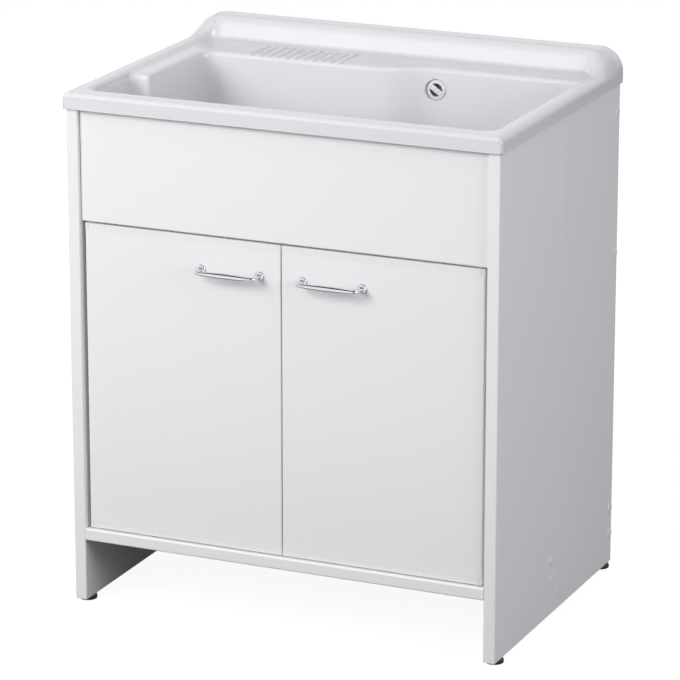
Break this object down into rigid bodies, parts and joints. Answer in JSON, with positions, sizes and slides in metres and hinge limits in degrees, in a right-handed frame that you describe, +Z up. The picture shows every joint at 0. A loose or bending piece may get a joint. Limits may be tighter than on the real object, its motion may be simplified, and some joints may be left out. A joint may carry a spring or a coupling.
{
  "type": "utility laundry sink cabinet",
  "caption": "Deep white moulded laundry basin with a ribbed soap shelf and raised back, on an open-backed cabinet with two inset doors and bow handles.",
  "frame": {"origin": "under the middle of the whole object, on the floor it stands on", "axes": "+X to the user's right, +Y to the wall behind, +Z up"},
  "size_m": [0.75, 0.552, 0.89],
  "materials": {
    "basin": "glossy moulded plastic",
    "white_board": "smooth satin extrusion",
    "white_trim": "moulded satin",
    "black_plastic": "matte",
    "grey_plastic": "matte",
    "rubber": "matte",
    "chrome": "polished",
    "steel": "zinc plated"
  },
  "bodies": {
    "cabinet": {"basin": "basin", "bottom_front_board": "white_board", "bottom_rear_board": "white_board", "bracket_screws": "steel", "drain_body": "grey_plastic", "drain_gasket": "rubber", "drain_nut": "grey_plastic", "drain_screw": "chrome", "drain_strainer": "chrome", "fascia": "white_board", "left_catch": "grey_plastic", "left_fascia_bracket": "white_trim", "left_feet": "black_plastic", "left_front_side": "white_board", "left_pivot_bushes": "white_trim", "left_rear_side": "white_board", "left_screw_caps": "white_trim", "left_shelf_bracket": "white_trim", "left_side_screws": "steel", "left_side_strip": "white_trim", "outlet_pipe": "grey_plastic", "overflow_elbow": "grey_plastic", "overflow_gasket": "rubber", "overflow_pipe": "grey_plastic", "overflow_rosette": "chrome", "overflow_screw": "chrome", "rear_bottom_rail": "white_board", "rear_middle_rail": "white_board", "rear_top_rail": "white_board", "right_catch": "grey_plastic", "right_fascia_bracket": "white_trim", "right_feet": "black_plastic", "right_front_side": "white_board", "right_pivot_bushes": "white_trim", "right_rear_side": "white_board", "right_screw_caps": "white_trim", "right_shelf_bracket": "white_trim", "right_side_screws": "steel", "right_side_strip": "white_trim", "trap_body": "grey_plastic", "trap_cup": "grey_plastic", "trap_inlet_nut": "grey_plastic", "trap_inlet_pipe": "grey_plastic", "trap_outlet_nut": "grey_plastic"},
    "left_door": {"left_door_bottom_cap": "white_trim", "left_door_panel": "white_board", "left_door_top_cap": "white_trim", "left_handle": "chrome", "left_handle_screws": "steel", "left_pivot_pins": "steel", "left_rosettes": "chrome", "left_strike_plate": "steel"},
    "right_door": {"right_door_bottom_cap": "white_trim", "right_door_panel": "white_board", "right_door_top_cap": "white_trim", "right_handle": "chrome", "right_handle_screws": "steel", "right_pivot_pins": "steel", "right_rosettes": "chrome", "right_strike_plate": "steel"}
  },
  "joints": [
    {"name": "left_door_hinge", "type": "hinge", "parent": "cabinet", "child": "left_door", "pos_m": [-0.334, -0.236, 0.388], "axis": [0, 0, -1], "range_deg": [0, 105]},
    {"name": "right_door_hinge", "type": "hinge", "parent": "cabinet", "child": "right_door", "pos_m": [0.334, -0.236, 0.388], "axis": [0, 0, 1], "range_deg": [0, 105]}
  ]
}
